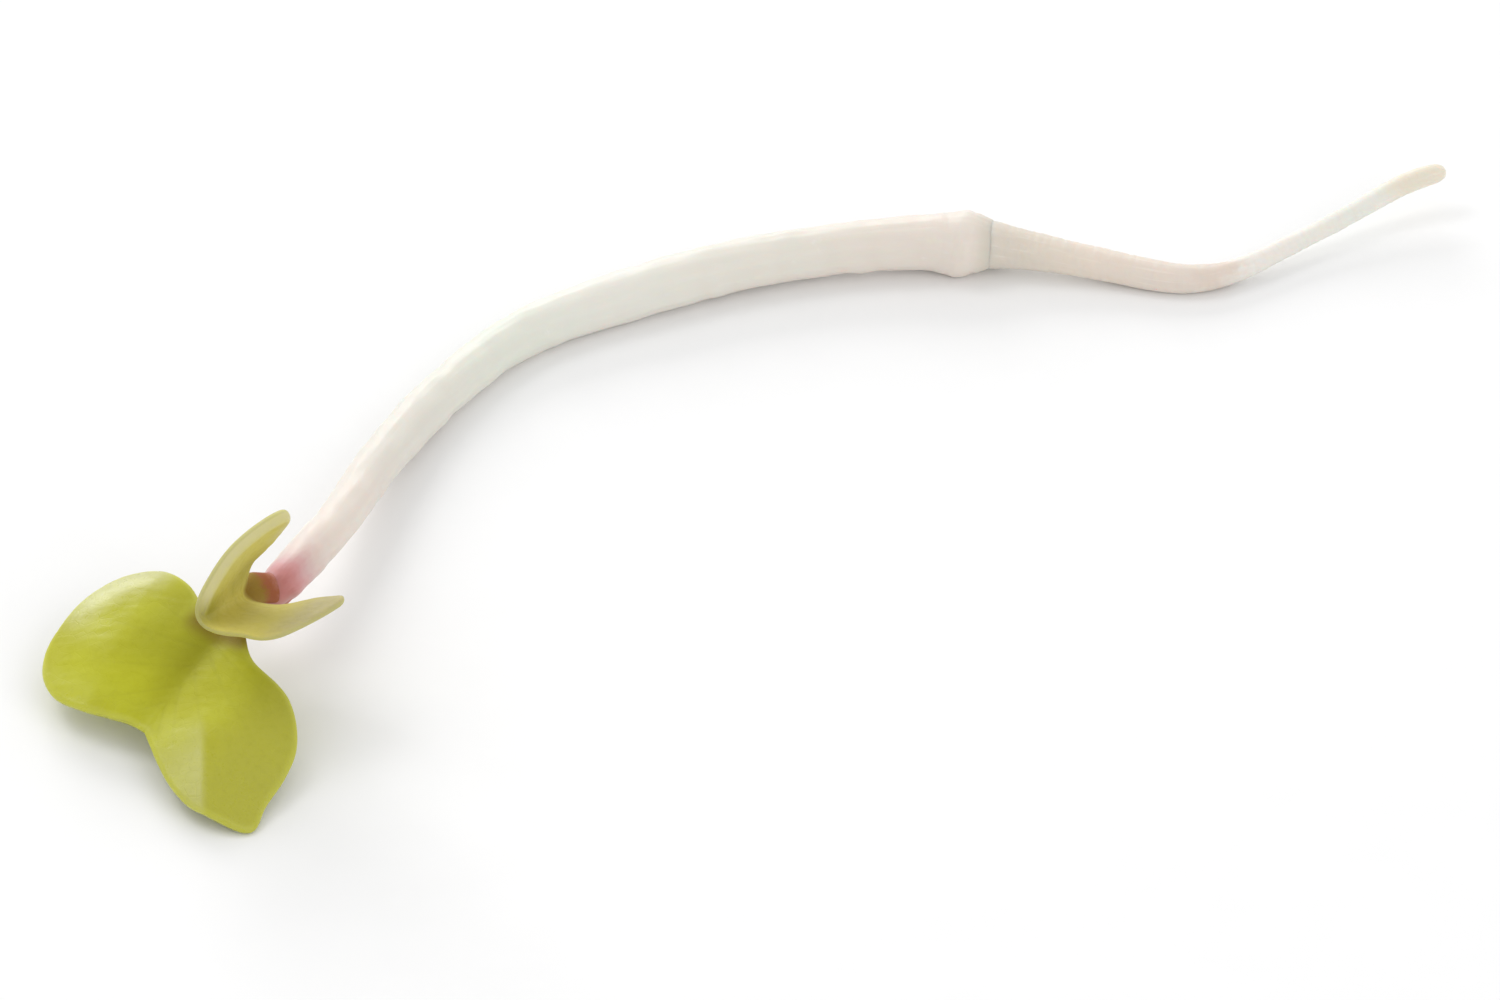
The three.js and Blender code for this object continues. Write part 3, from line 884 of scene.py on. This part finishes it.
def root_finish():
    """Cream root skin, beige near the collar and in the bend, and nearly white towards the tip.

    A run of colours follows the root, with uneven patches; its first stops are darker, as painted shade at
    the seam with the stem. Warmer rings and pale fibres lie over it.
    """
    made = Finish("root_skin", {
        "IOR": 1.4, "Specular IOR Level": 0.3, "Subsurface Weight": 0.5,
        "Subsurface Radius": (0.9, 0.6, 0.42), "Subsurface Scale": 0.6 * MM,
    })
    skin = made.layer("skin")
    distance, _, _ = made.parts(skin)
    patches = made.noise(skin, (0.8, 1.6, 1.6), 4.0)
    uneven = made.math("ADD", distance, made.between(patches, *NOISE_SPAN, -0.5, 0.5))
    # The ramp's first stops are darker, as painted shade at the seam with the stem.
    colour = made.ramp(made.between(uneven, *ROOT_ZONE), [
        (0.0, (216, 208, 196)), (0.05, (222, 213, 200)), (0.12, (226, 215, 203)), (0.35, (223, 213, 203)),
        (0.44, (220, 208, 197)), (0.54, (231, 228, 222)), (0.9, (227, 228, 221)), (1.0, (226, 220, 204)),
    ])
    rings = made.noise(skin, (5.0, 1.2, 1.2))
    colour = made.mix(made.between(rings, 0.5, 0.75, end=0.2), colour, shade(222, 206, 190))
    fibres = made.noise(skin, (0.3, 7.0, 7.0))
    colour = made.mix(made.between(fibres, 0.55, 0.75, end=0.25), colour, shade(245, 242, 235))
    made.set(made.shader, {"Base Color": colour, "Roughness": made.between(rings, *NOISE_SPAN, 0.36, 0.52)})
    cells = made.noise(skin, (6.0, 16.0, 16.0), 2.0)
    made.relief([(rings, 0.01 * MM), (fibres, 0.012 * MM), (cells, 0.005 * MM)])
    return made.material


class LeafFinish(Finish):
    """A fleshy leaf's material, with the places and patterns that its tones follow."""

    def __init__(self, name, tones, zones):
        super().__init__(name, {
            "IOR": 1.45, "Specular IOR Level": 0.36, "Subsurface Weight": 0.4,
            "Subsurface Radius": (0.5, 0.5, 0.06), "Subsurface Scale": 0.7 * MM,
            "Coat Weight": 0.05, "Coat Roughness": 0.16,
        })
        self.tones = {key: shade(*screen) for key, screen in tones.items()}
        self.zones = zones
        self.flat = self.layer("flat")
        self.along, self.across, _ = self.parts(self.flat)
        self.from_crease = self.math("ABSOLUTE", self.across)
        self.rim_gap = self.layer("rim_gap", "Fac")
        self.grain = self.noise(self.flat, 3.2, 4.0, 0.65)
        cells = self.add(
            "ShaderNodeTexVoronoi", {"Vector": self.flat, "Scale": 1.9}, feature="DISTANCE_TO_EDGE",
        )
        self.net = self.between(cells.outputs["Distance"], 0.07, 0.0)

    def tint(self, colour, tone, *shares):
        """The colour mixed towards one of the leaf's tones, by the product of the shares."""
        share, *others = shares
        for other in others:
            share = self.math("MULTIPLY", share, other)
        return self.mix(share, colour, self.tones[tone])

    def face(self):
        """Two greens in soft patches, the second lobe's tones, a grain and a net of fine lines.

        A painted highlight lies along the first lobe's rim, near the leaf's base.
        """
        patches = self.between(self.noise(self.flat, 0.3, 2.0), 0.35, 0.65)
        colour = self.mix(patches, self.tones["face"], self.tones["bright"])
        # On the large leaf, the second lobe's tone and the tip's are partly a painted sheen.
        second = self.between(self.across, *self.zones["second"], end=SHARES["second"])
        colour = self.tint(colour, "second", second)
        colour = self.tint(colour, "tip", self.between(self.across, *TIP_ZONE, end=SHARES["tip"]))
        # Painted highlight along the first lobe's rim, near the base.
        colour = self.tint(
            colour, "bloom",
            self.between(self.across, *PAINTED_HIGHLIGHT_ZONE["across"]), self.between(self.along, *PAINTED_HIGHLIGHT_ZONE["along"]),
            self.between(self.rim_gap, *PAINTED_HIGHLIGHT_ZONE["from_rim"], end=SHARES["bloom"]),
        )
        colour = self.tint(colour, "deep", self.between(self.grain, 0.45, 0.75, end=SHARES["grain"]))
        return self.tint(colour, "bright", self.net, SHARES["net"])

    def creases(self, colour):
        """Darker veins, painted shade in the crease and in a hollow beside it, and a painted highlight on the
        ridge's steep side.
        """
        colour = self.tint(colour, "deep", self.layer("vein", "Fac"), SHARES["vein"])
        # Painted shade in the crease, strongest along the valley zone.
        beside = self.math("ABSOLUTE", self.math("ADD", self.across, -CREASE_PLACE))
        valley_shade = self.between(self.along, *self.zones["valley_shade"], *self.zones["valley_shares"])
        colour = self.tint(colour, "deep", self.between(beside, *CREASE_SHADE_ZONE), valley_shade)
        # Painted highlight on the ridge's steep side.
        colour = self.tint(colour, "bloom", self.layer("facet_highlight", "Fac"), SHARES["facet_highlight"])
        # Painted shade in a hollow of the first lobe beside the crease.
        return self.tint(
            colour, "deep",
            self.between(self.across, *HOLLOW_SHADE["outer"]), self.between(self.across, *HOLLOW_SHADE["inner"]),
            self.between(self.along, *HOLLOW_SHADE["along"], end=SHARES["hollow_shade"]),
        )

    def edges(self, colour):
        """A paler margin, plainer on the second lobe, and the back's own tone."""
        plainer = self.between(self.across, *PLAINER_ZONE, 1.0, 1.0 - self.zones["plainer"])
        margin = self.between(self.rim_gap, *MARGIN_ZONE, end=SHARES["margin"])
        colour = self.tint(colour, "margin", margin, plainer)
        return self.tint(colour, "back", self.layer("under", "Fac"), SHARES["back"])

    def stalk(self, colour):
        """From the blade's base down the stalk: brown, partly its own tone and partly a painted shadow, then
        red, then the neck's pink, with uneven ends.
        """
        uneven = self.between(self.grain, *NOISE_SPAN, -0.05, 0.05)
        # The brown here is partly the stalk's own tone and partly a painted shadow.
        at_base = self.between(self.math("ADD", self.along, uneven), *self.zones["brown"])
        colour = self.tint(colour, "brown", at_base, self.between(self.from_crease, *BASE_ZONE))
        reached = self.math("ADD", self.layer("spread", "Fac"), uneven)
        colour = self.tint(colour, "red", self.between(reached, *RED_ZONE))
        return self.tint(colour, "pink", self.between(reached, *PINK_ZONE))

    def roughness(self):
        """The leaf's own span of roughness, and more but at the first lobe's outer base and the far end."""
        dull = self.math(
            "MAXIMUM", self.between(self.across, *DULL["across"]),
            self.between(self.from_crease, *DULL["from_crease"]),
        )
        dull = self.math("MAXIMUM", dull, self.between(self.along, *DULL["along"]))
        added = self.math("MULTIPLY", dull, self.between(self.along, *DULL["ends"], end=SHARES["dull"]))
        return self.math("ADD", self.between(self.grain, *NOISE_SPAN, *self.zones["roughness"]), added)


def leaf_finish(name, tones, zones):
    """A fleshy leaf: its face, then its creases, its edges and its stalk laid over it, and fine bumps."""
    made = LeafFinish(name, tones, zones)
    colour = made.stalk(made.edges(made.creases(made.face())))
    made.set(made.shader, {"Base Color": colour, "Roughness": made.roughness()})
    cells = made.noise(made.flat, 11.0, 2.0)
    made.relief([(made.net, -0.003 * MM), (made.grain, 0.006 * MM), (cells, 0.002 * MM)])
    return made.material


def table_finish():
    """A plain white matt table top with the faintest grain."""
    made = Finish("table_white", {"Roughness": 0.7, "Specular IOR Level": 0.15})
    place = made.add("ShaderNodeTexCoord", {}).outputs["Object"]
    grain = made.noise(place, 300.0)
    made.set(made.shader, {"Base Color": made.mix(grain, shade(243, 243, 243), shade(246, 246, 246))})
    return made.material


# The pieces

def put_in_place(piece, node):
    """The piece stands for its node and rides with the sprout's one body."""
    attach(piece, "root")
    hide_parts(node)


def make_stem():
    grid, straight = turned_grid(STEM_PROFILE, STEM_RINGS, STEM_SIDES, stem_relief)
    stem = closed_skin("stem", on_table(grid), {"skin": straight}, stem_finish())
    put_in_place(stem, "hypocotyl")


def make_root():
    grid, straight = turned_grid(ROOT_PROFILE, ROOT_RINGS, ROOT_SIDES, root_relief)
    root = closed_skin("root_body", on_table(grid), {"skin": straight}, root_finish())
    put_in_place(root, "root")


def make_large_leaf():
    grid, layers = leaf_grid(LARGE_LEAF, seed=31, ridge=True)
    finish = leaf_finish("outer_leaf", LARGE_LEAF_TONES, LARGE_LEAF_ZONES)
    put_in_place(closed_skin("large_leaf", on_table(grid), layers, finish), "cotyledon_outer")


def make_small_leaf():
    grid, layers = leaf_grid(SMALL_LEAF, seed=41, ridge=False)
    finish = leaf_finish("inner_leaf", SMALL_LEAF_TONES, SMALL_LEAF_ZONES)
    put_in_place(closed_skin("small_leaf", on_table(grid), layers, finish), "cotyledon_inner")


# The table, the lights and the camera

# These are in metres. The table top lies a hair below the sprout, so that no faces coincide.
TABLE_RADIUS = 4.0
TABLE_DROP = 0.01 * MM
SURROUND_BRIGHTNESS = 0.77
SOFT_BOXES = {
    "window": {"place": (-0.17, 0.5, 0.24), "width": 0.36, "height": 0.26, "brightness": 4.5},
    "key": {"place": (-0.26, 0.12, 0.42), "width": 0.2, "height": 0.2, "brightness": 2.9},
    "fill": {"place": (0.34, -0.36, 0.34), "width": 0.4, "height": 0.4, "brightness": 1.2},
}
# The camera looks along +Y and down at its view's centre, from far off and through a long lens.
CAMERA_ELEVATION = 40.0
CAMERA_DISTANCE = 1.5
VIEW_WIDTH = 60 * MM
VIEW_CENTRE = -MIDDLE * MM
SENSOR = 36.0


def make_table():
    bpy.ops.mesh.primitive_circle_add(
        vertices=96, radius=TABLE_RADIUS, fill_type="NGON", location=(0, 0, -TABLE_DROP),
    )
    table = bpy.context.object
    table.name = "table"
    table.data.materials.append(table_finish())


def aim(thing, place, target):
    """Puts a lamp or a camera at a place and turns it to look at a target."""
    thing.location = place
    direction = Vector(target) - Vector(place)
    thing.rotation_euler = direction.to_track_quat("-Z", "Y").to_euler()


def soft_box(name, place, width, height, brightness):
    """A soft light that faces the sprout. Its power is its area times its brightness times pi."""
    lamp = bpy.data.objects.new(name, bpy.data.lights.new(name, "AREA"))
    lamp.data.shape = "RECTANGLE"
    lamp.data.size = width
    lamp.data.size_y = height
    lamp.data.energy = np.pi * width * height * brightness
    bpy.context.scene.collection.objects.link(lamp)
    aim(lamp, place, (0, 0, 0))


def make_lights():
    world = bpy.data.worlds.new("studio")
    world.use_nodes = True
    surround = world.node_tree.nodes["Background"]
    surround.inputs["Color"].default_value = (1.0, 1.0, 1.0, 1.0)
    surround.inputs["Strength"].default_value = SURROUND_BRIGHTNESS
    bpy.context.scene.world = world
    for name, box in SOFT_BOXES.items():
        soft_box(name, **box)


def make_camera():
    rise = np.radians(CAMERA_ELEVATION)
    camera = bpy.data.objects.new("camera", bpy.data.cameras.new("camera"))
    camera.data.sensor_width = SENSOR
    camera.data.lens = SENSOR * CAMERA_DISTANCE / VIEW_WIDTH
    camera.data.clip_start = 0.1
    camera.data.clip_end = 20.0
    place = VIEW_CENTRE + CAMERA_DISTANCE * np.array([0, -np.cos(rise), np.sin(rise)])
    aim(camera, place.tolist(), VIEW_CENTRE.tolist())
    bpy.context.scene.collection.objects.link(camera)
    bpy.context.scene.camera = camera
    bpy.context.scene.view_settings.view_transform = "Standard"


make_camera()
make_lights()
make_table()
make_stem()
make_root()
make_large_leaf()
make_small_leaf()

bpy.context.view_layer.update()
